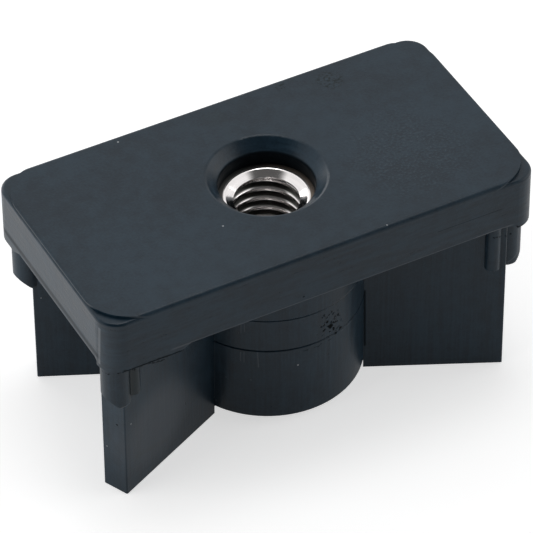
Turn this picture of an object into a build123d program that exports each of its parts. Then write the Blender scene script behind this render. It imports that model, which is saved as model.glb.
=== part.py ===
"""Rectangular tube insert: a moulded plastic plug around a threaded steel bush.

Millimetres, +Z up. The origin is on the thread's axis, in the plane of the four ribs'
lower ends, so that the plug stands on its ribs with its head on top.
"""
import math
import os

from build123d import *

# The tube that the plug closes: outer size and wall
tube_length = 50.0
tube_width = 25.0
tube_wall = 1.2
tube_fit = 0.1

# Head: the block that stays outside the tube
head_end_setback = 1.0
head_side_setback = 0.1
head_height = 5.8
head_corner_radius = 2.3
plateau_corner_radius = 4.8
plateau_end_inset = 0.13
corner_step = 0.3
long_edge_round = 0.46
short_edge_round = 0.22
shelf_edge_round = 0.32

# Lips under the head's corners: how far they hang down, their wall, and for each pair of
# opposite corners the run along the long and the short side, each with its sloping end
lip_drop = 0.7
lip_wall = 1.0
long_lip_run = 8.0
long_lip_slope = 1.1
long_lip_return = 1.5
long_lip_return_slope = 1.2
short_lip_run = 1.0
short_lip_slope = 3.0
short_lip_return = 4.0
short_lip_return_slope = 1.4

# Whole height, from the ribs' lower ends to the top of the head
plug_height = 24.7

# Boss: the round column that holds the bush
boss_radius = 9.85
boss_recess = 0.95
boss_edge_round = 0.2
boss_seam_width = 0.22
boss_seam_depth = 0.14
boss_seam_drop = 14.7
boss_line_width = 0.16
boss_line_depth = 0.07
boss_line_drop = 10.65

# Noses: round pins under the head's corners that press into the tube's corners
nose_radius = 1.5
nose_end_gap = 0.27
nose_side_gap = -0.15
nose_drop = 6.7
nose_chamfer = 1.45
nose_edge_round = 0.45

# Ribs: four plates from the boss to the noses, a little off the line to their axes
rib_thickness = 2.9
rib_turn = 1.1
rib_edge_round = 0.15

# Beads: half-round strips on both sides of each rib, near its outer end
bead_radius = 0.8
bead_from_end = 1.4
bead_drop = 6.0
bead_chamfer = 0.4

# Bush: a steel thread insert, size 8 by 1.25, moulded in
thread_major = 8.0
thread_pitch = 1.25
thread_depth_ratio = 1.0825
bush_recess = 2.7
bush_length = 12.0
bush_across_flats = 13.0
bush_waist_depth = 1.0
bush_waist_length = 4.0
lead_in_radius = 4.47
mouth_bore_radius = 4.84
mouth_countersink = 1.25
mouth_edge_round = 0.35
passage_clearance = 0.2

# Places that follow from the sizes above
head_length = tube_length - 2 * head_end_setback
head_width = tube_width - 2 * head_side_setback
underside = plug_height - head_height
shelf = plug_height - corner_step
inner_half_length = tube_length / 2 - tube_wall - tube_fit
inner_half_width = tube_width / 2 - tube_wall - tube_fit
nose_x = inner_half_length - nose_end_gap - nose_radius
nose_y = inner_half_width - nose_side_gap - nose_radius
nose_distance = math.hypot(nose_x, nose_y)
thread_minor_radius = (thread_major - thread_depth_ratio * thread_pitch) / 2
bush_top = plug_height - bush_recess
bush_bottom = bush_top - bush_length
lead_in_depth = lead_in_radius - thread_minor_radius
passage_radius = thread_major / 2 + passage_clearance

# Corners, seen from above: signs of X and Y, the rib's own extra turn in degrees, its shift
# to one side, how far its end passes the nose's axis, and its kind of lip
corners = {
    "front_left": (-1, -1, 0.0, -0.85, 0.15, "long"),
    "front_right": (1, -1, -0.4, -0.5, -0.15, "short"),
    "back_right": (1, 1, 0.0, -0.85, 0.15, "long"),
    "back_left": (-1, 1, 0.3, 0.1, -0.4, "short"),
}
lips = {
    "long": (long_lip_run, long_lip_slope, long_lip_return, long_lip_return_slope),
    "short": (short_lip_run, short_lip_slope, short_lip_return, short_lip_return_slope),
}


def column(length, width, radius, low, high):
    """Upright block with round corners between two heights."""
    return Pos(0, 0, low) * extrude(RectangleRounded(length, width, radius), high - low)


def rounded_bar(width, low, high, radius):
    """Cross-section of a bar that is rounded along its two top edges."""
    outline = Pos(0, (low + high) / 2) * Rectangle(width, high - low)
    top_corners = outline.vertices().group_by(Axis.Y)[-1]
    return fillet(top_corners, radius)


def make_head():
    """Plateau with large corner radii, on a block whose corners are a step lower."""
    plateau_length = head_length - 2 * plateau_end_inset
    plateau = column(plateau_length, head_width, plateau_corner_radius, underside, plug_height)
    along_x = rounded_bar(head_width, underside, plug_height, long_edge_round)
    along_y = rounded_bar(plateau_length, underside, plug_height, short_edge_round)
    plateau &= extrude(Plane.YZ * along_x, head_length / 2, both=True)
    plateau &= extrude(Plane.XZ * along_y, head_width / 2, both=True)
    block = column(head_length, head_width, head_corner_radius, underside, shelf)
    block = fillet(block.faces().sort_by(Axis.Z)[-1].edges(), shelf_edge_round)
    return plateau + block


def lip_prism(run, slope, depth):
    """Lip that runs inwards along -X from the origin, then slopes up, as deep in +Y as asked."""
    profile = Polyline(
        (0, 0),
        (0, -lip_drop),
        (-run, -lip_drop),
        (-run - slope, 0),
        close=True,
    )
    return extrude(Plane.XZ * make_face(profile), -depth)


def make_lip(sign_x, sign_y, kind):
    """Thin wall under one corner of the head, along both of its sides."""
    run, slope, back_run, back_slope = lips[kind]
    low = underside - lip_drop
    wall = column(head_length, head_width, head_corner_radius, low, underside)
    inner_length = head_length - 2 * lip_wall
    inner_width = head_width - 2 * lip_wall
    wall -= column(inner_length, inner_width, head_corner_radius - lip_wall, low, underside)
    half_length = head_length / 2
    half_width = head_width / 2
    depth = head_corner_radius
    along = Pos(half_length, half_width - depth, underside) * lip_prism(run, slope, depth)
    across = mirror(lip_prism(back_run, back_slope, depth), Plane.XZ)
    across = Pos(half_length - depth, half_width, underside) * Rot(0, 0, 90) * across
    lip = wall & (along + across)
    if sign_x < 0:
        lip = mirror(lip, Plane.YZ)
    if sign_y < 0:
        lip = mirror(lip, Plane.XZ)
    return lip


def make_boss():
    """Round column with a seam and a fainter line around it."""
    height = underside - boss_recess
    boss = Pos(0, 0, boss_recess) * Cylinder(
        boss_radius, height, align=(Align.CENTER, Align.CENTER, Align.MIN)
    )
    boss = fillet(boss.edges().group_by(Axis.Z)[0], boss_edge_round)
    boss -= groove(boss_seam_drop, boss_seam_width, boss_seam_depth)
    boss -= groove(boss_line_drop, boss_line_width, boss_line_depth)
    return boss


def groove(drop, width, depth):
    """Ring with a V section that is cut into the boss at a distance below the head's top."""
    z = plug_height - drop
    section = Polyline(
        (boss_radius + depth, z + width),
        (boss_radius - depth, z),
        (boss_radius + depth, z - width),
        close=True,
    )
    return revolve(Plane.XZ * make_face(section), Axis.Z)


def make_rib(sign_x, sign_y, extra_turn, shift, end_past_nose):
    """Upright plate from the boss to one nose, with a bead on each side of its outer end."""
    line = math.degrees(math.atan2(sign_y * nose_y, sign_x * nose_x))
    angle = line + sign_x * sign_y * rib_turn + extra_turn
    reach = nose_distance + end_past_nose
    plate = Box(reach, rib_thickness, underside, align=(Align.MIN, Align.CENTER, Align.MIN))
    outer_edges = plate.edges().filter_by(Axis.Z).group_by(Axis.X)[-1]
    plate = fillet(outer_edges, rib_edge_round)
    bead = Cylinder(bead_radius, bead_drop, align=(Align.CENTER, Align.CENTER, Align.MIN))
    bead = chamfer(bead.edges().group_by(Axis.Z)[0], bead_chamfer)
    for side in (-1, 1):
        place = Pos(reach - bead_from_end, side * rib_thickness / 2, underside - bead_drop)
        plate += place * bead
    return Rot(0, 0, angle) * Pos(0, shift, 0) * plate


def make_nose(sign_x, sign_y):
    """Round pin under one corner, cut away at a slant below on the side of the tube's end wall."""
    pin = Cylinder(nose_radius, nose_drop, align=(Align.CENTER, Align.CENTER, Align.MIN))
    pin = fillet(pin.edges().group_by(Axis.Z)[0], nose_edge_round)
    kept = Polyline(
        (-nose_radius, 0),
        (nose_radius - nose_chamfer, 0),
        (nose_radius, nose_chamfer),
        (nose_radius, nose_drop),
        (-nose_radius, nose_drop),
        close=True,
    )
    pin &= extrude(Plane.XZ * make_face(kept), nose_radius, both=True)
    if sign_x < 0:
        pin = mirror(pin, Plane.YZ)
    return Pos(sign_x * nose_x, sign_y * nose_y, underside - nose_drop) * pin


def make_bush():
    """Hexagonal steel bush with a waist, a tapered lead-in and a bore at the thread's crests."""
    outer_radius = bush_across_flats / 2
    hexagon = RegularPolygon(outer_radius, 6, major_radius=False)
    bush = Pos(0, 0, bush_bottom) * extrude(hexagon, bush_length)
    waist_radius = outer_radius - bush_waist_depth
    waist_middle = (bush_top + bush_bottom) / 2
    waist = Cylinder(2 * outer_radius, bush_waist_length) - Cylinder(waist_radius, bush_waist_length)
    bush -= Pos(0, 0, waist_middle) * waist
    return bush


def make_thread_bore():
    """Bore through the bush with its tapered lead-in at the top."""
    bore = Pos(0, 0, bush_bottom) * Cylinder(
        thread_minor_radius, bush_length, align=(Align.CENTER, Align.CENTER, Align.MIN)
    )
    lead_in = Pos(0, 0, bush_top - lead_in_depth) * Cone(
        thread_minor_radius, lead_in_radius, lead_in_depth, align=(Align.CENTER, Align.CENTER, Align.MIN)
    )
    return bore + lead_in


def make_mouth():
    """Opening above the bush: a plain bore that widens in a cone with rounded edges."""
    cone_foot = plug_height - mouth_countersink
    mouth_radius = mouth_bore_radius + mouth_countersink
    above = plug_height + mouth_countersink
    line = FilletPolyline(
        (mouth_bore_radius, bush_top),
        (mouth_bore_radius, cone_foot),
        (mouth_radius, plug_height),
        (mouth_radius + mouth_countersink, plug_height),
        radius=mouth_edge_round,
    )
    rest = Polyline(
        (mouth_radius + mouth_countersink, plug_height),
        (mouth_radius + mouth_countersink, above),
        (0, above),
        (0, bush_top),
        (mouth_bore_radius, bush_top),
    )
    return revolve(Plane.XZ * make_face(line + rest), Axis.Z)


def make_plug():
    """The whole plastic moulding, with its opening and the bush's seat cut out."""
    plug = make_head() + make_boss()
    for sign_x, sign_y, extra_turn, shift, end_past_nose, kind in corners.values():
        plug += make_rib(sign_x, sign_y, extra_turn, shift, end_past_nose)
        plug += make_nose(sign_x, sign_y)
        plug += make_lip(sign_x, sign_y, kind)
    plug -= Cylinder(boss_radius, boss_recess, align=(Align.CENTER, Align.CENTER, Align.MIN))
    plug -= make_mouth()
    plug -= make_bush()
    plug -= Cylinder(passage_radius, bush_bottom, align=(Align.CENTER, Align.CENTER, Align.MIN))
    return plug


parts = {
    "plug_body": make_plug(),
    "threaded_bush": make_bush() - make_thread_bore(),
}

os.makedirs("parts", exist_ok=True)
for name, shape in parts.items():
    export_step(shape, f"parts/{name}.step")
    print(name, "solids", len(shape.solids()), "volume", round(shape.volume, 2))
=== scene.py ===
# %% [markdown]
# # A tube insert, dressed in Blender
# The real object is a plug for the end of a rectangular steel tube. It is one moulding of
# blue-black plastic with a threaded steel bush in its head. The solids come from the CAD and
# stay as they are, so this lesson is about three things: a real thread cut into the bush,
# the two materials with their marks of moulding and wear, and soft studio light.

import math
from functools import reduce

import bpy
import numpy as np
from mathutils import Matrix, Vector
from mathutils.bvhtree import BVHTree


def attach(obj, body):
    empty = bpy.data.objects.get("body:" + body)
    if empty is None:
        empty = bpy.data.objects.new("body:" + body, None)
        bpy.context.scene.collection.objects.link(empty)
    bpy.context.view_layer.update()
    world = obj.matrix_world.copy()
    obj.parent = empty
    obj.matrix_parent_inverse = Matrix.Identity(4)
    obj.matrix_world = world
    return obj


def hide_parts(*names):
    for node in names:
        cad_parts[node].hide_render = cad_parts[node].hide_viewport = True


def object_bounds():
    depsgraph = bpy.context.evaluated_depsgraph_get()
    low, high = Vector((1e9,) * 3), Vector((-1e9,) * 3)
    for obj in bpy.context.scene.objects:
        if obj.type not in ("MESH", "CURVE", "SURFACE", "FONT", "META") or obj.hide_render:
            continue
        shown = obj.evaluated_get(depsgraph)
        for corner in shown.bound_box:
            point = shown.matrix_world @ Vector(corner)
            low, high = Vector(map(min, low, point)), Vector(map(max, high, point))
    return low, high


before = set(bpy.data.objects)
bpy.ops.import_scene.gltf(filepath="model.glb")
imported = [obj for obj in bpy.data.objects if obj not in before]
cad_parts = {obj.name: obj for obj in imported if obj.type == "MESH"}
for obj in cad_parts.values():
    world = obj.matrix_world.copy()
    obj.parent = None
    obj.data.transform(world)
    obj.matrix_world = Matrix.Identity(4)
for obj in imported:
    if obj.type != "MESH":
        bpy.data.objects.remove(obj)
cad_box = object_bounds()
MM = 0.001
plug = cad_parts["plug_body"]
head_half_length, head_half_width, head_top = (v / MM for v in cad_box[1])
print("solids:", sorted(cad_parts), "head length in mm:", round(2 * head_half_length, 2))

# %% [markdown]
# ## The camera
# The photograph was taken from the front left, looking down at the head at about 42 degrees,
# with a long lens. A camera on a sphere around a target is the simplest way to say that:
# azimuth, elevation, a small roll and a distance. The first axis of the camera's matrix points
# right in the picture, the second up, and the third back at the camera.

# %% Place the camera
camera_azimuth = -27.869
camera_elevation = 42.195
camera_roll = -0.376
camera_distance = 423.744 * MM
camera_target = Vector((-6.3608, -11.8712, 24.7)) * MM
picture_width = 533
focal_pixels = 4392.16
sensor_width = 36.0


def camera_axes(azimuth, elevation, roll):
    """Right, up and back of a camera that looks at its target, all in degrees."""
    turn, tilt, lean = (math.radians(v) for v in (azimuth, elevation, roll))
    back = Vector((math.sin(turn) * math.cos(tilt), -math.cos(turn) * math.cos(tilt), math.sin(tilt)))
    right = Vector((0, 0, 1)).cross(back).normalized()
    up = back.cross(right)
    leaned_right = right * math.cos(lean) + up * math.sin(lean)
    leaned_up = up * math.cos(lean) - right * math.sin(lean)
    return leaned_right, leaned_up, back


right, up, back = camera_axes(camera_azimuth, camera_elevation, camera_roll)
eye = camera_target + back * camera_distance
lens = bpy.data.cameras.new("photo_camera")
lens.sensor_width = sensor_width
lens.lens = focal_pixels * sensor_width / picture_width
camera = bpy.data.objects.new("photo_camera", lens)
camera.matrix_world = Matrix((right, up, back)).transposed().to_4x4()
camera.matrix_world.translation = eye
bpy.context.scene.collection.objects.link(camera)
bpy.context.scene.camera = camera
print("lens in mm:", round(lens.lens, 1), "eye:", [round(v, 4) for v in eye])

# %% [markdown]
# ## Surfaces from arrays
# Every new piece is a grid of points: one direction runs around the piece, the other along its
# section. The points are worked out as whole arrays, and the quads between them follow from
# the grid's own numbering, so no loop over vertices is needed.


# %% A grid of points becomes a closed mesh
def skin(name, points, smooth_below=35.0):
    """Mesh from points[row, column, xyz]. Both directions close: last row to first, last column to first."""
    rows, columns = points.shape[:2]
    number = np.arange(rows * columns).reshape(rows, columns)
    next_row = np.roll(number, -1, axis=0)
    next_column = np.roll(number, -1, axis=1)
    corner = np.roll(next_row, -1, axis=1)
    quads = np.stack([number, next_column, corner, next_row], axis=-1).reshape(-1, 4)
    mesh = bpy.data.meshes.new(name)
    mesh.from_pydata(points.reshape(-1, 3).tolist(), [], quads.tolist())
    mesh.set_sharp_from_angle(angle=math.radians(smooth_below))
    piece = bpy.data.objects.new(name, mesh)
    bpy.context.scene.collection.objects.link(piece)
    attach(piece, "root")
    print(name, "quads:", len(quads))
    return piece


# %% [markdown]
# ## The threaded bush
# The CAD bush has a plain bore, and the photograph shows turns of thread. A helix could be cut
# with a boolean, but that is slow and leaves slivers. Here the bush is one closed skin: going
# around it is one direction, and going down its outside, across its foot, up the bore and out
# over the top ring is the other. In the bore the radius depends on the height and the angle
# together, which is what makes a thread.

# %% The bush's measures
bush_recess = 2.7
bush_length = 12.0
bush_high = head_top - bush_recess
bush_low = bush_high - bush_length
bush_half_flats = 6.5
waist_radius = 5.5
waist_low, waist_high = 14.0, 18.0
lead_in_radius = 4.163
lead_in_lean = math.radians(60)
rim_round = 0.4
rim_rows = 8
print("bush from", round(bush_low, 2), "to", round(bush_high, 2), "mm")

# %% [markdown]
# ### The thread's shape
# A tapped thread is a ramp up from the root, a short flat crest and a ramp down, wound as a
# helix. Its pitch and its inner radius are those of a common coarse thread. Where a crest
# passes in the photograph is written as one height and one angle, so the turns line up with it.

# %% The thread's measures and its depth
thread_pitch = 1.25
thread_crest_radius = 3.3234
thread_depth = 0.677
groove_start_high, groove_start_low = 21.5, 21.05
crest_share = 0.25
flank_share = 0.3125
thread_roundness = 0.12
crest_below_head_top = 6.09
crest_height_seen = head_top - crest_below_head_top
crest_angle_seen = 62.1


def thread_depth_at(height, angle):
    """How deep the groove is, from 0 at a crest to 1 at a root.

    The place within one turn runs from 0 at a crest's middle to 0.5 at a root's middle. It is
    the height over the pitch minus the share of a full turn, so the crests climb as a
    right-hand helix. A ramp with rounded ends leads from crest to root.
    """
    turns = (height - crest_height_seen) / thread_pitch - (angle - math.radians(crest_angle_seen)) / math.tau
    from_crest = np.abs(turns - np.round(turns))
    ramp = (from_crest - crest_share / 2) / flank_share
    return 0.5 * (np.hypot(ramp, thread_roundness) - np.hypot(ramp - 1, thread_roundness) + 1)


print("turns in the bush:", round((bush_high - bush_low) / thread_pitch, 1))


# %% The radii around the bush
def hexagon_radius(angle):
    """Distance from the axis to a hexagon's side.

    It is half the flats over the cosine of the angle from that side's middle.
    """
    sector = math.tau / 6
    return bush_half_flats / np.cos(np.mod(angle, sector) - sector / 2)


def bore_radius(height, angle):
    """The thread's radius, or where it is wider that of a lead-in cone, at both ends of the bore.

    A cone's radius changes by the height times the tangent of its lean. The groove starts from
    nothing under the upper cone: its depth grows evenly between two heights.
    """
    started = np.clip((groove_start_high - height) / (groove_start_high - groove_start_low), 0, 1)
    thread = thread_crest_radius + thread_depth * started * thread_depth_at(height, angle)
    upper_cone = lead_in_radius - (bush_high - height) * math.tan(lead_in_lean)
    lower_cone = thread_crest_radius + thread_depth - (height - bush_low) * math.tan(lead_in_lean)
    return np.maximum(thread, np.maximum(upper_cone, lower_cone))


def rim_arc():
    """Radii and heights of the arc that rounds the rim.

    The arc's lean from the axis runs from the cone's lean to a right angle, where it is level
    with the top. Its centre lies below the top by the arc's radius.
    """
    lean = np.linspace(lead_in_lean, math.pi / 2, rim_rows)
    centre_radius = lead_in_radius + rim_round * math.tan((math.pi / 2 - lead_in_lean) / 2)
    return centre_radius - rim_round * np.cos(lean), bush_high - rim_round * (1 - np.sin(lean))


print("rim radius in mm:", round(float(rim_arc()[0][-1]), 3))

# %% Skin the bush
turn_columns = 240
rows_per_turn = 26
angle = np.arange(turn_columns) * math.tau / turn_columns
hexagon = hexagon_radius(angle)
waist = np.full_like(angle, waist_radius)
arc_radii, arc_heights = rim_arc()
bore_rows = round((bush_high - bush_low) / thread_pitch * rows_per_turn)
bore_heights = np.linspace(bush_low, arc_heights[0], bore_rows)[:-1]
outside = [
    (hexagon, bush_high),
    (hexagon, waist_high),
    (waist, waist_high),
    (waist, waist_low),
    (hexagon, waist_low),
    (hexagon, bush_low),
]
radii = [radius for radius, height in outside]
radii += [bore_radius(height, angle) for height in bore_heights]
radii += [np.full_like(angle, radius) for radius in arc_radii]
radii = np.array(radii)
heights = np.array([height for radius, height in outside] + list(bore_heights) + list(arc_heights))
heights = np.broadcast_to(heights[:, None], radii.shape)
bush_points = np.stack([radii * np.cos(angle), radii * np.sin(angle), heights], axis=-1) * MM
bush = skin("bush_with_thread", bush_points[::-1])
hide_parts("threaded_bush")

# %% [markdown]
# ## Shader maths that reads like maths
# A material is a network of nodes. Typing each link by hand hides the idea, so a small class
# wraps one output socket, and the usual operators add the Math nodes.


# %% A wire with operators
class Wire:
    """One output of a node. Adding, multiplying or comparing wires adds Math nodes to their material."""

    def __init__(self, tree, socket):
        self.tree = tree
        self.socket = socket

    def __add__(self, other):
        return node(self.tree, "ShaderNodeMath", {"operation": "ADD"}, {0: self, 1: other})

    def __sub__(self, other):
        return node(self.tree, "ShaderNodeMath", {"operation": "SUBTRACT"}, {0: self, 1: other})

    def __rsub__(self, other):
        return node(self.tree, "ShaderNodeMath", {"operation": "SUBTRACT"}, {0: other, 1: self})

    def __mul__(self, other):
        return node(self.tree, "ShaderNodeMath", {"operation": "MULTIPLY"}, {0: self, 1: other})

    def larger(self, other):
        return node(self.tree, "ShaderNodeMath", {"operation": "MAXIMUM"}, {0: self, 1: other})

    def size(self):
        return node(self.tree, "ShaderNodeMath", {"operation": "ABSOLUTE"}, {0: self})

    __radd__ = __add__
    __rmul__ = __mul__


def node(tree, kind, settings, values, output=0):
    """Add any node: its settings first, then a value or a wire for each named or numbered socket."""
    made = tree.nodes.new(kind)
    for name, value in settings.items():
        setattr(made, name, value)
    for name, value in values.items():
        if isinstance(value, Wire):
            tree.links.new(value.socket, made.inputs[name])
        else:
            made.inputs[name].default_value = value
    return Wire(tree, made.outputs[output])


def vector(tree, operation, values, output=0):
    """Add a Vector Math node."""
    return node(tree, "ShaderNodeVectorMath", {"operation": operation}, values, output)


# %% Patterns, ramps and blends
def noise(tree, place, stretch, scale, detail, roughness=0.5):
    """Noise around 0, from about -0.5 to 0.5, drawn out along an axis where the stretch is below 1."""
    spot = vector(tree, "MULTIPLY", {0: place, 1: stretch})
    values = {"Vector": spot, "Scale": scale, "Detail": detail, "Roughness": roughness}
    return node(tree, "ShaderNodeTexNoise", {}, values, "Fac") - 0.5


def step(tree, value, low, high):
    """0 below low, 1 above high and a smooth ramp between them; the ramp falls when low is above high."""
    values = {"Value": value, "From Min": low, "From Max": high}
    return node(tree, "ShaderNodeMapRange", {"interpolation_type": "SMOOTHSTEP"}, values)


def mix(tree, share, first, second):
    """Blend of two colours by a share. A Mix node has sockets for each kind of data, so they go by number."""
    return node(tree, "ShaderNodeMix", {"data_type": "RGBA"}, {0: share, 6: first, 7: second}, 2)


def weigh(patterns, shares):
    """Sum of the named patterns, each times its share."""
    return sum(patterns[name] * share for name, share in shares.items())


def largest(masks):
    """The largest of several masks, at each point of the surface."""
    return reduce(Wire.larger, masks)


def axis_places(tree, place):
    """The three coordinates of a place, each as a wire."""
    axes = node(tree, "ShaderNodeSeparateXYZ", {}, {0: place})
    return [Wire(tree, socket) for socket in axes.socket.node.outputs]


def from_upright_axis(tree, place):
    """Distance from the Z axis: the length of the place with its height left out."""
    level_place = vector(tree, "MULTIPLY", {0: place, 1: (1, 1, 0)})
    return vector(tree, "LENGTH", {0: level_place}, "Value")


# %% A material's start and end
def new_material(name):
    """An empty node material: its tree, its surface shader and its place on the object in millimetres."""
    material = bpy.data.materials.new(name)
    material.use_nodes = True
    tree = material.node_tree
    shader = tree.nodes["Principled BSDF"]
    coordinates = node(tree, "ShaderNodeTexCoord", {}, {}, "Object")
    place = vector(tree, "SCALE", {0: coordinates, "Scale": 1 / MM})
    return material, tree, shader, place


def finish_with(tree, shader, colour, roughness, metal, height):
    """Link what varies: colour, roughness, share of metal, and a height in mm that bends the light."""
    tree.links.new(colour.socket, shader.inputs["Base Color"])
    tree.links.new(roughness.socket, shader.inputs["Roughness"])
    if metal is not None:
        tree.links.new(metal.socket, shader.inputs["Metallic"])
    bump = node(tree, "ShaderNodeBump", {}, {"Height": height, "Distance": MM}, "Normal")
    tree.links.new(bump.socket, shader.inputs["Normal"])
    print("nodes in the material:", len(tree.nodes))


# %% [markdown]
# ## Marks that sit where the photograph shows them
# The real plug has pits in its boss, a porous patch on its head and pale specks of dust. Other
# marks are painted light: painted shade in pits, gaps and junctions, and painted highlights on
# edges, seams and corners. Each is named by the pixel where it shows. The camera's ray through
# that pixel meets the solid at one point, and the material draws the mark around that point, so
# it stays there from any side.

# %% Find a pixel's place on the plug
plug_tree = BVHTree.FromObject(plug, bpy.context.evaluated_depsgraph_get())
line_core = 0.3
spot_core = 0.45


def place_of(pixel_x, pixel_y):
    """Where the camera's ray through a pixel of the photograph first meets the plug, in millimetres."""
    across = (pixel_x - picture_width / 2) / focal_pixels
    down = (pixel_y - picture_width / 2) / focal_pixels
    ray = (right * across - up * down - back).normalized()
    return plug_tree.ray_cast(eye, ray)[0] / MM


def gap_to(tree, place, spot):
    """Distance from the shaded point to a spot."""
    return vector(tree, "DISTANCE", {0: place, 1: spot}, "Value")


def gap_to_line(tree, place, start, end):
    """Distance to a straight line: the nearest point is a share of the way along, kept from 0 to 1."""
    way = end - start
    from_start = vector(tree, "SUBTRACT", {0: place, 1: start})
    along = vector(tree, "DOT_PRODUCT", {0: from_start, 1: way}, "Value")
    settings = {"operation": "DIVIDE", "use_clamp": True}
    share = node(tree, "ShaderNodeMath", settings, {0: along, 1: way.length_squared})
    offset = vector(tree, "SCALE", {0: way, "Scale": share})
    return vector(tree, "DISTANCE", {0: from_start, 1: offset}, "Value")


def area(tree, place, pixel_x, pixel_y, outer, inner):
    """Soft round mask: 0 beyond the outer radius from the pixel's place, 1 within the inner one."""
    return step(tree, gap_to(tree, place, place_of(pixel_x, pixel_y)), outer, inner)


def spots(tree, place, marks):
    """Mask that is 1 inside any of the marks, each named by a pixel and a radius in millimetres."""
    return largest([area(tree, place, x, y, radius, radius * spot_core) for x, y, radius in marks.values()])


def lines(tree, place, marks):
    """Mask that is 1 on any of the lines, each named by its two end pixels and a half width in mm."""
    masks = []
    for start_x, start_y, end_x, end_y, radius in marks.values():
        gap = gap_to_line(tree, place, place_of(start_x, start_y), place_of(end_x, end_y))
        masks.append(step(tree, gap, radius, radius * line_core))
    return largest(masks)


middle = place_of(picture_width / 2, picture_width / 2)
print("the picture's middle is on the plug at:", [round(v, 2) for v in middle])

# %% Areas: the pixel of the middle, and the radii in millimetres where the area ends and is full
areas = {
    "scuffed_top": (405, 150, 9.0, 2.0),
    "dragged_boss": (335, 350, 5.5, 2.0),
    # The rib patch is painted light: the rib's side made paler where the light falls on it.
    "lit_rib_patch": (156, 425, 6.5, 2.5),
    "pitted_boss": (331, 323, 2.1, 0.9),
    "porous_patch": (330, 80, 1.7, 1.0),
    "porous_small": (280, 86, 0.9, 0.3),
    "top_smudge": (214, 118, 1.9, 0.6),
}
print("areas:", len(areas))

# %% Spots: the pixel of the middle and the radius in millimetres
pale_specks = {
    "on_head_left": (118, 142, 0.13),
    "near_mouth": (223, 226, 0.12),
    "on_front_edge": (387, 225, 0.10),
    "on_boss": (298, 365, 0.11),
    "on_rib_end": (107, 446, 0.09),
    "on_far_rib": (41, 298, 0.08),
    "under_nose": (131, 424, 0.10),
}
# The specks at the near rib's junction and beside them are painted glints, on a real burr for the last; the
# others are faint pale specks.
faint_specks_and_glints = {
    "boss_left": (226, 377, 0.14),
    "boss_middle": (251, 380, 0.15),
    "junction_high": (215, 342, 0.10),
    "junction_low": (214, 397, 0.12),
    "burr": (216, 400, 0.20),
}
# Painted shade: dark spots in the pits and nicks, where the recess hides the light.
dark_pits = {
    "boss_large": (330.5, 326, 0.42),
    "boss_large_arm": (327, 322, 0.22),
    "boss_large_foot": (333.5, 329, 0.22),
    "boss_seam": (340, 328, 0.34),
    "boss_seam_tail": (336, 333, 0.22),
    "boss_top": (324.5, 315.5, 0.20),
    "boss_top_left": (322, 318, 0.15),
    "boss_small": (332, 312, 0.14),
    "boss_right": (339, 316, 0.14),
    "boss_left": (323.5, 331, 0.22),
    "boss_lower": (328, 337, 0.14),
    "head_nick": (304, 297, 0.16),
    "rib_end": (117, 425, 0.14),
}
print("spots:", len(pale_specks) + len(faint_specks_and_glints) + len(dark_pits))

# %% Lines: the two end pixels and the half width in millimetres
# The lines boss_a to boss_f are drag marks. The others are painted highlights: along the boss's seam, at the
# near rib's junction with the boss, on the right peg's corner and along the head's lower edge on the right.
drag_and_highlight_lines = {
    "boss_a": (238.5, 325, 238.5, 333, 0.06),
    "boss_b": (241, 325, 241, 333, 0.06),
    "boss_c": (244.5, 324, 244.5, 332, 0.05),
    "boss_d": (240.5, 352, 240.5, 361, 0.07),
    "boss_e": (244, 352, 244, 362, 0.07),
    "boss_f": (257.5, 353, 258.5, 367, 0.09),
    "boss_seam_right": (341, 331, 351, 321.5, 0.07),
    "boss_seam_end": (351, 321.5, 361, 309, 0.07),
    "junction": (214.6, 338, 214.6, 398, 0.035),
    "right_corner": (518.5, 229, 517, 254, 0.14),
    "right_corner_foot": (516, 255, 508, 262, 0.14),
    "right_lower_edge": (476, 237.5, 503, 228, 0.07),
}
# The head's front line is a scratch; the far junction is painted shade between the boss and the far rib.
scratches_and_junction_shade = {
    "head_front": (438, 232, 502, 209, 0.045),
    "far_junction": (364.8, 291, 364.8, 345, 0.16),
}
# Painted highlight on the head's front corner.
corner_highlight_lines = {"front_corner": (99.3, 329, 99.3, 363, 0.22)}
rib_smudges = {"rib": (138, 455, 166, 440, 0.5)}
# Painted shade on the bead beside the near rib's nose.
shaded_beads = {"front_left": (134, 374, 134, 393, 1.0)}
# Painted shadow: ragged dark gaps under the boss's seam and under the head's lips.
ragged_gap_shadows = {
    "boss_seam_below": (304, 350.5, 318, 346, 0.07),
    "boss_seam_below_end": (318, 346, 333, 337.5, 0.08),
    "lip_start": (102.5, 371, 108, 374.3, 0.08),
    "lip_a": (108, 374.3, 120, 373, 0.09),
    "lip_b": (120, 373, 133, 369.5, 0.08),
    "lip_c": (135, 369, 142, 366, 0.15),
    "lip_d": (149, 364, 165, 359.5, 0.11),
    "lip_e": (168, 357.5, 176, 353, 0.07),
    "lip_f": (176, 353, 180, 351, 0.13),
    "lip_right_a": (494, 238, 500, 236.5, 0.16),
    "lip_right_b": (505.5, 235, 511, 234, 0.19),
}
print("lines:", len(drag_and_highlight_lines) + len(scratches_and_junction_shade) + len(ragged_gap_shadows))

# %% [markdown]
# ## The moulded plastic
# Blue-black plastic looks almost black from the front and pale at a glancing angle, because
# its colour is dark and its skin still reflects. So the base colour is a very dark blue, and
# the reflected room does the rest: satin, with cloudy patches and a fine grain. Below the head
# the mould has drawn fine upright lines, and along the head's sides they run level.

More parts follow.
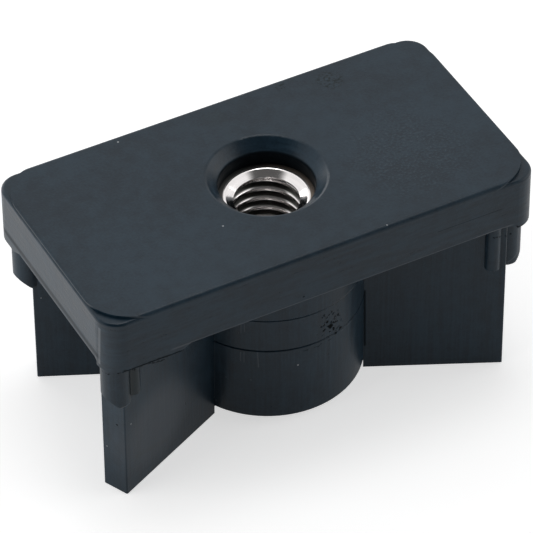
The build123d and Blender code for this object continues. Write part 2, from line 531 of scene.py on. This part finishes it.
# %% Plastic: where the head's parts are
head_height, lip_drop = 5.8, 0.7
head_low = head_top - head_height
lip_low = head_low - lip_drop
specular_level = 0.3
plastic, tree, shader, place = new_material("plastic")
shader.inputs["Specular IOR Level"].default_value = specular_level
place_x, place_y, place_z = axis_places(tree, place)
below_from, below_to = 0.2, 0.6
top_from, top_to = 0.5, 0.35
below_head = step(tree, head_low - place_z, below_from, below_to)
on_top = step(tree, head_top - place_z, top_from, top_to)
on_side = (1 - below_head) * (1 - on_top)
masks = {name: area(tree, place, *measures) for name, measures in areas.items()}
print("head from", round(head_low, 2), "mm, lips from", round(lip_low, 2), "mm")

# %% Plastic: clouds, grain and drag lines
all_ways, drawn_upright, drawn_level = (1, 1, 1), (1, 1, 0.03), (0.12, 0.12, 1)
streaks_on_side = 1.4
drawn_from, drawn_to = 0.06, 0.26
grains_from, grains_to = 0.04, 0.2
cloud = noise(tree, place, all_ways, scale=0.11, detail=3)
patch = noise(tree, place, all_ways, scale=0.7, detail=4)
grain = noise(tree, place, all_ways, scale=3.6, detail=4, roughness=0.6)
upright = noise(tree, place, drawn_upright, scale=3.2, detail=3, roughness=0.6)
level = noise(tree, place, drawn_level, scale=2.2, detail=3, roughness=0.6)
scuffed = masks["scuffed_top"] * on_top
dragged = masks["dragged_boss"]
streaks = upright * below_head * (1 + dragged) + level * on_side * streaks_on_side
# Real drag marks on the boss, painted paler in the area where the light grazes them.
drawn = step(tree, upright, drawn_from, drawn_to) * dragged * below_head
grains = step(tree, grain, grains_from, grains_to) * scuffed
# Painted shade: the bead is made darker.
bead_shade = lines(tree, place, shaded_beads)
# Painted light: the near rib's side paler where light falls on it, apart from the bead.
painted_rib_light = masks["lit_rib_patch"] * below_head * (1 - bead_shade)
print("nodes so far:", len(tree.nodes))

# %% [markdown]
# ### Edges and gaps
# A painted highlight runs along the head's long lower edges. The end faces are painted paler,
# as lit, with real mottled scuffs, above a groove whose shade is painted dark. Under the lips a
# ragged gap's shadow is painted dark, and the wall of the mouth over the bush is painted in
# shade, as no light reaches it. Each of these follows the shape, so it is a band around a height
# or a distance.

# %% Plastic: painted edge highlights, end faces, the shadow under the lips and the mouth's shaded wall
side_band = (0.12, 0.04)
edge_band = (0.14, 0.05)
edge_middle, edge_ends = 2.0, (19.4, 18.6)
end_band = (0.15, 0.05)
end_line_above, end_line_band = 0.6, (0.5, 0.1)
end_patch, end_grain, end_scuff_band = 0.7, 0.6, (-0.2, 0.35)
lip_gap_above, lip_gap_ragged, lip_gap_band = 0.08, 0.25, (0.14, 0.06)
mouth_wall_band, mouth_height_band = (5.05, 4.87), (20.0, 21.5)
outer = step(tree, (place_y.size() - head_half_width).size(), *side_band)
between_lips = step(tree, (place_x - edge_middle).size(), *edge_ends)
# A painted highlight along the head's long lower edges, where light catches them.
edge_highlight = step(tree, (place_z - head_low).size(), *edge_band) * outer * between_lips
end_face = step(tree, (place_x.size() - head_half_length).size(), *end_band)
# The end faces: the groove's shade is painted dark, and the faces are painted paler, as lit, with real
# mottled scuffs.
end_groove_shade = step(tree, (place_z - head_low - end_line_above).size(), *end_line_band) * end_face
end_scuff_and_light = step(tree, level + patch * end_patch + grain * end_grain, *end_scuff_band) * end_face
# Painted shadow: a ragged dark band under the lips.
ragged = noise(tree, place, all_ways, scale=1.6, detail=3) * lip_gap_ragged
lip_gap_shadow = step(tree, (place_z - lip_low - lip_gap_above + ragged).size(), *lip_gap_band) * outer
# Painted shade on the mouth's wall over the bush, where no light reaches.
mouth_wall_shade = step(tree, from_upright_axis(tree, place), *mouth_wall_band)
mouth_wall_shade = mouth_wall_shade * step(tree, place_z, *mouth_height_band)
print("nodes so far:", len(tree.nodes))

# %% [markdown]
# ### Pits, specks, scratches and painted gap shadows
# Gas in the moulding has left pits near the boss's seam and porous patches on the head. The
# pits' darkness is painted shade, and so is the ragged dark under the lips, under the boss's seam
# and at the far rib's junction. A pit with a perfect outline looks drawn, so the marks are read
# at a place that a little noise has pushed about. Specks of dust and clean scratches are read at
# the true place.

# %% Plastic: pits, specks, scratches and painted gap shadows
wobble_scale, wobble_detail, wobble_reach = 2.4, 2.0, 0.5
pit_scale, pit_band = 1.9, (0.34, 0.18)
porous_band = (-0.04, 0.12)
pore_share = 0.8
wobbling = {"Vector": place, "Scale": wobble_scale, "Detail": wobble_detail}
wobble = node(tree, "ShaderNodeTexNoise", {}, wobbling, "Color")
wobble = vector(tree, "SUBTRACT", {0: wobble, 1: (0.5, 0.5, 0.5)})
wobble = vector(tree, "SCALE", {0: wobble, "Scale": wobble_reach})
rough_place = vector(tree, "ADD", {0: place, 1: wobble})
cells = {"Vector": rough_place, "Scale": pit_scale, "Randomness": 1.0}
pit_field = node(tree, "ShaderNodeTexVoronoi", {"feature": "F1"}, cells, "Distance")
fine_field = noise(tree, place, all_ways, scale=3.0, detail=2)
pores = step(tree, pit_field, *pit_band) * masks["pitted_boss"]
porous = step(tree, fine_field, *porous_band) * masks["porous_patch"].larger(masks["porous_small"])
# Painted shade in the pits and pores.
pits = spots(tree, rough_place, dark_pits).larger(pores * pore_share)
# Scratches, and painted shade in the gaps and at the far junction.
scratches_and_gap_shade = lines(tree, place, scratches_and_junction_shade).larger(lines(tree, rough_place, ragged_gap_shadows))
print("nodes so far:", len(tree.nodes))

# %% [markdown]
# ### Patterns become colour, roughness and relief
# Each pattern shows a little in the colour, in the roughness and in the relief. Tables of
# shares keep that in view. A hollow's painted shade is a black colour and a share of metal:
# black metal reflects nothing, which is how a recess looks that no light gets out of. Painted
# highlights and painted light go in with the wear and the dust, and painted shade with the dirt.

# %% Plastic: the patterns and their shares
patterns = {
    "cloud": cloud,
    "patch": patch,
    "grain": grain,
    "scuffs": grain * scuffed,
    "streaks": streaks,
    "grains": grains,
    "drawn": drawn,
    "painted_rib_light": painted_rib_light,
    "rib_light_streaks": painted_rib_light * upright,
    "edge_highlight": edge_highlight,
    "end_groove_shade": end_groove_shade,
    "end_scuff_and_light": end_scuff_and_light,
    "lip_gap_shadow": lip_gap_shadow,
    "mouth_wall_shade": mouth_wall_shade,
    "bead_shade": bead_shade,
    "pits": pits,
    "pores": pores,
    "porous": porous,
    "scratches_and_gap_shade": scratches_and_gap_shade,
    "drags_and_highlights": lines(tree, place, drag_and_highlight_lines),
    "faint_and_glints": spots(tree, place, faint_specks_and_glints),
    "pale": spots(tree, place, pale_specks),
    "corner_highlight": lines(tree, place, corner_highlight_lines),
    "top_smudge": masks["top_smudge"],
    "rib_smudge": lines(tree, rough_place, rib_smudges),
}
tone_shares = {"cloud": 1.1, "patch": 0.9, "grain": 0.9, "scuffs": 1.4, "streaks": 1.3}
# The dirt shares also hold painted shade on the bead.
dirt_and_shade_shares = {"porous": 0.75, "top_smudge": 0.2, "rib_smudge": 0.4, "bead_shade": 0.6}
# The wear shares mix real wear with painted highlights on edges, seams and corners and painted light on the
# near rib.
wear_and_highlight_shares = {
    "edge_highlight": 0.55,
    "drags_and_highlights": 0.5,
    "faint_and_glints": 0.4,
    "end_scuff_and_light": 0.25,
    "drawn": 0.32,
    "grains": 0.2,
    "painted_rib_light": 0.46,
    "rib_light_streaks": 0.3,
}
# The hollow shares are painted shade: black that hides the reflection in pits, gaps, the end groove and the
# mouth's wall.
hollow_shares = {"pits": 1.0, "lip_gap_shadow": 0.8, "scratches_and_gap_shade": 0.8, "end_groove_shade": 0.5, "mouth_wall_shade": 0.75}
# The dust shares also hold the painted highlight on the front corner.
dust_and_highlight_shares = {"pale": 1.0, "corner_highlight": 0.22}
shine_shares = {"cloud": 0.07, "patch": 0.12, "streaks": 0.18, "grain": 0.14, "hollow": 0.3, "porous": 0.2}
relief_shares = {"grain": 0.014, "scuffs": 0.02, "patch": 0.014, "streaks": 0.014, "pores": -0.1}
patterns["hollow"] = largest([patterns[name] * share for name, share in hollow_shares.items()])
print("patterns:", len(patterns))

# %% Plastic: put it together
plastic_dark = (0.0055, 0.017, 0.029, 1)
plastic_light = (0.0135, 0.033, 0.052, 1)
# Black for the painted shade in hollows.
hollow_shade_black = (0.002, 0.003, 0.0035, 1)
# Dark green for the porous patch and smudges, and for painted shade on the bead.
porous_and_shade_green = (0.004, 0.010, 0.009, 1)
# Grey for wear, and for the painted highlights and painted light.
worn_and_highlight_grey = (0.10, 0.115, 0.135, 1)
# Pale grey for dust and for the painted corner highlight.
dust_and_highlight_grey = (0.42, 0.44, 0.46, 1)
tone_from, tone_to = -0.45, 0.45
satin = 0.34
porous_metal = 0.3
tone = step(tree, weigh(patterns, tone_shares), tone_from, tone_to)
dust_and_highlight = largest([patterns[name] * share for name, share in dust_and_highlight_shares.items()])
colour = mix(tree, tone, plastic_dark, plastic_light)
colour = mix(tree, weigh(patterns, dirt_and_shade_shares), colour, porous_and_shade_green)
colour = mix(tree, weigh(patterns, wear_and_highlight_shares), colour, worn_and_highlight_grey)
colour = mix(tree, patterns["hollow"], colour, hollow_shade_black)
colour = mix(tree, dust_and_highlight, colour, dust_and_highlight_grey)
shine = satin + weigh(patterns, shine_shares)
# Black metal takes the reflection away: painted shade in the hollows, and by a share in the porous patch.
metal = patterns["hollow"].larger(porous * porous_metal)
finish_with(tree, shader, colour, shine, metal, weigh(patterns, relief_shares))
plug.data.materials.clear()
plug.data.materials.append(plastic)

# %% [markdown]
# ## The steel bush
# The bush is turned from free-cutting steel and left bright. The tool leaves fine rings, so
# the roughness and the relief change quickly with the height and hardly around the bore.
# The thread's grooves are darker on the side of the bore that faces the camera, and the flat of
# the rim is rougher and darker, brown towards the right.

# %% Steel: rings, the darker grooves and the dull rim
ring_stretch = (0.3, 0.3, 6)
far_from, far_to = 0.0, 1.5
groove_radii, groove_heights = (3.42, 3.6), (21.45, 21.3)
dull_radii, dull_heights = (4.28, 4.42), (21.8, 21.9)
brown_from, brown_to = 0.5, 3.5
ring_from, ring_to = -0.4, 0.4
steel, tree, shader, place = new_material("steel")
shader.inputs["Metallic"].default_value = 1.0
place_x, place_y, place_z = axis_places(tree, place)
from_axis = from_upright_axis(tree, place)
turned = noise(tree, place, ring_stretch, scale=1.0, detail=2)
away_from_camera = vector(tree, "DOT_PRODUCT", {0: place, 1: -back}, "Value") + place_z * back.z
on_far_side = step(tree, away_from_camera, far_from, far_to)
# The thread's grooves darker on the far side of the bore.
groove_dark = step(tree, from_axis, *groove_radii) * step(tree, place_z, *groove_heights) * on_far_side
dull_top = step(tree, from_axis, *dull_radii) * step(tree, place_z, *dull_heights)
brown = step(tree, place_x, brown_from, brown_to)
print("nodes so far:", len(tree.nodes))

# %% Steel: put it together
steel_dark, steel_light = (0.80, 0.77, 0.76, 1), (0.92, 0.89, 0.88, 1)
groove_black = (0.02, 0.024, 0.018, 1)
dull_black, dull_brown = (0.02, 0.022, 0.02, 1), (0.13, 0.10, 0.075, 1)
groove_share, dull_share = 0.9, 0.93
polish = 0.10
steel_patterns = {"turned": turned, "groove_dark": groove_dark, "dull_top": dull_top}
steel_shine_shares = {"turned": 0.06, "groove_dark": 0.25, "dull_top": 0.3}
ring_height = 0.003
colour = mix(tree, step(tree, turned, ring_from, ring_to), steel_dark, steel_light)
colour = mix(tree, groove_dark * groove_share, colour, groove_black)
colour = mix(tree, dull_top * dull_share, colour, mix(tree, brown, dull_black, dull_brown))
shine = polish + weigh(steel_patterns, steel_shine_shares)
finish_with(tree, shader, colour, shine, None, turned * ring_height)
bush.data.materials.append(steel)

# %% [markdown]
# ## The table and the light
# The photograph was taken in a white tent: a pale ground, pale walls all round, and only the
# side of the camera dark. The floor is a pale sheet under the ribs. To the camera it also glows
# a little, so that it reaches white, and the part's shadow still shows. In reflections it glows
# more at the left, where the end of the head mirrors it.

# %% The floor's sheet
floor_half = 3.0
floor_drop = 0.00002
floor_corners = [(-1, -1), (1, -1), (1, 1), (-1, 1)]
floor_points = [(x * floor_half, y * floor_half, -floor_drop) for x, y in floor_corners]
mesh = bpy.data.meshes.new("floor")
mesh.from_pydata(floor_points, [], [(0, 1, 2, 3)])
floor = bpy.data.objects.new("floor", mesh)
bpy.context.scene.collection.objects.link(floor)
print("floor side in m:", 2 * floor_half)

# %% The floor's paper
paper_colour = (0.8, 0.8, 0.8, 1)
paper_roughness = 0.9
glow_for_camera = 0.6
glow_for_reflections = 0.28
glow_at_left = 0.45
left_from, left_to = -0.015, -0.06
paper = bpy.data.materials.new("paper")
paper.use_nodes = True
tree = paper.node_tree
diffuse = tree.nodes["Principled BSDF"]
diffuse.inputs["Base Color"].default_value = paper_colour
diffuse.inputs["Roughness"].default_value = paper_roughness
diffuse.inputs["Specular IOR Level"].default_value = 0.0


def rays_that_ask(tree):
    """Two masks from Light Path: what the camera sees, straight or through glass, and reflections."""
    camera_ray = node(tree, "ShaderNodeLightPath", {}, {}, "Is Camera Ray")
    sockets = camera_ray.socket.node.outputs
    seen = camera_ray.larger(Wire(tree, sockets["Is Transmission Ray"]))
    return seen, Wire(tree, sockets["Is Glossy Ray"])


seen, reflected = rays_that_ask(tree)
floor_x = axis_places(tree, node(tree, "ShaderNodeTexCoord", {}, {}, "Object"))[0]
at_left = step(tree, floor_x, left_from, left_to)
strength = seen * glow_for_camera + reflected * (glow_for_reflections + at_left * glow_at_left)
glow = node(tree, "ShaderNodeEmission", {}, {"Strength": strength})
sum_of_both = node(tree, "ShaderNodeAddShader", {}, {0: Wire(tree, diffuse.outputs[0]), 1: glow})
tree.links.new(sum_of_both.socket, tree.nodes["Material Output"].inputs["Surface"])
mesh.materials.append(paper)
print("nodes in the paper:", len(tree.nodes))

# %% [markdown]
# ### Lamps
# Soft square lamps stand outside the tent. One on the left is the main light, two lamps fill
# from the back and the right, and a small one above the back shines into the bore. The main
# one doesn't show in reflections, because the tent's wall stands before it.

# %% Lamps: azimuth and elevation in degrees, distance and width in metres, power in watts
lamps = {
    "above_back": (152, 77, 1.2, 0.4, 2.0),
    "key_left": (-100, 15, 1.3, 1.0, 8.0),
    "fill_back": (-175, 12, 1.3, 1.0, 4.0),
    "fill_right": (72, 15, 1.3, 1.2, 4.4),
}
hidden_in_reflections = ["key_left"]


def softbox(name, azimuth, elevation, distance, width, power):
    """Square area lamp at an azimuth, elevation and distance, aimed at the part."""
    axes = camera_axes(azimuth, elevation, 0)
    data = bpy.data.lights.new(name, "AREA")
    data.shape = "SQUARE"
    data.size = width
    data.energy = power
    lamp = bpy.data.objects.new(name, data)
    lamp.matrix_world = Matrix(axes).transposed().to_4x4()
    lamp.matrix_world.translation = axes[2] * distance
    lamp.visible_glossy = name not in hidden_in_reflections
    bpy.context.scene.collection.objects.link(lamp)


for name, measures in lamps.items():
    softbox(name, *measures)
print("lamps:", len(lamps))

# %% [markdown]
# ### The tent's walls
# The walls are the world's background. The camera sees plain white. Reflections see nearly
# white walls with a dark sector around the camera, which is what makes the plastic's front
# faces dark and the middle of the lead-in grey. The even light that the walls give stays at a
# plain level.

# %% The tent's walls
room_light = 0.46
wall_white = 0.95
dark_wall = 0.1
dark_from, dark_to = math.cos(math.radians(56)), math.cos(math.radians(43))
world = bpy.data.worlds.new("room")
bpy.context.scene.world = world
world.use_nodes = True
tree = world.node_tree
background = tree.nodes["Background"]
background.inputs["Color"].default_value = (1, 1, 1, 1)
direction = node(tree, "ShaderNodeTexCoord", {}, {}, "Generated")
toward_camera = vector(tree, "DOT_PRODUCT", {0: direction, 1: back}, "Value")
walls = 1 - step(tree, toward_camera, dark_from, dark_to) * (1 - dark_wall)
seen, reflected = rays_that_ask(tree)
strength = seen + (1 - seen) * walls * (room_light + reflected * (wall_white - room_light))
tree.links.new(strength.socket, background.inputs["Strength"])
bpy.context.scene.view_settings.view_transform = "Standard"
print("nodes in the world:", len(tree.nodes))
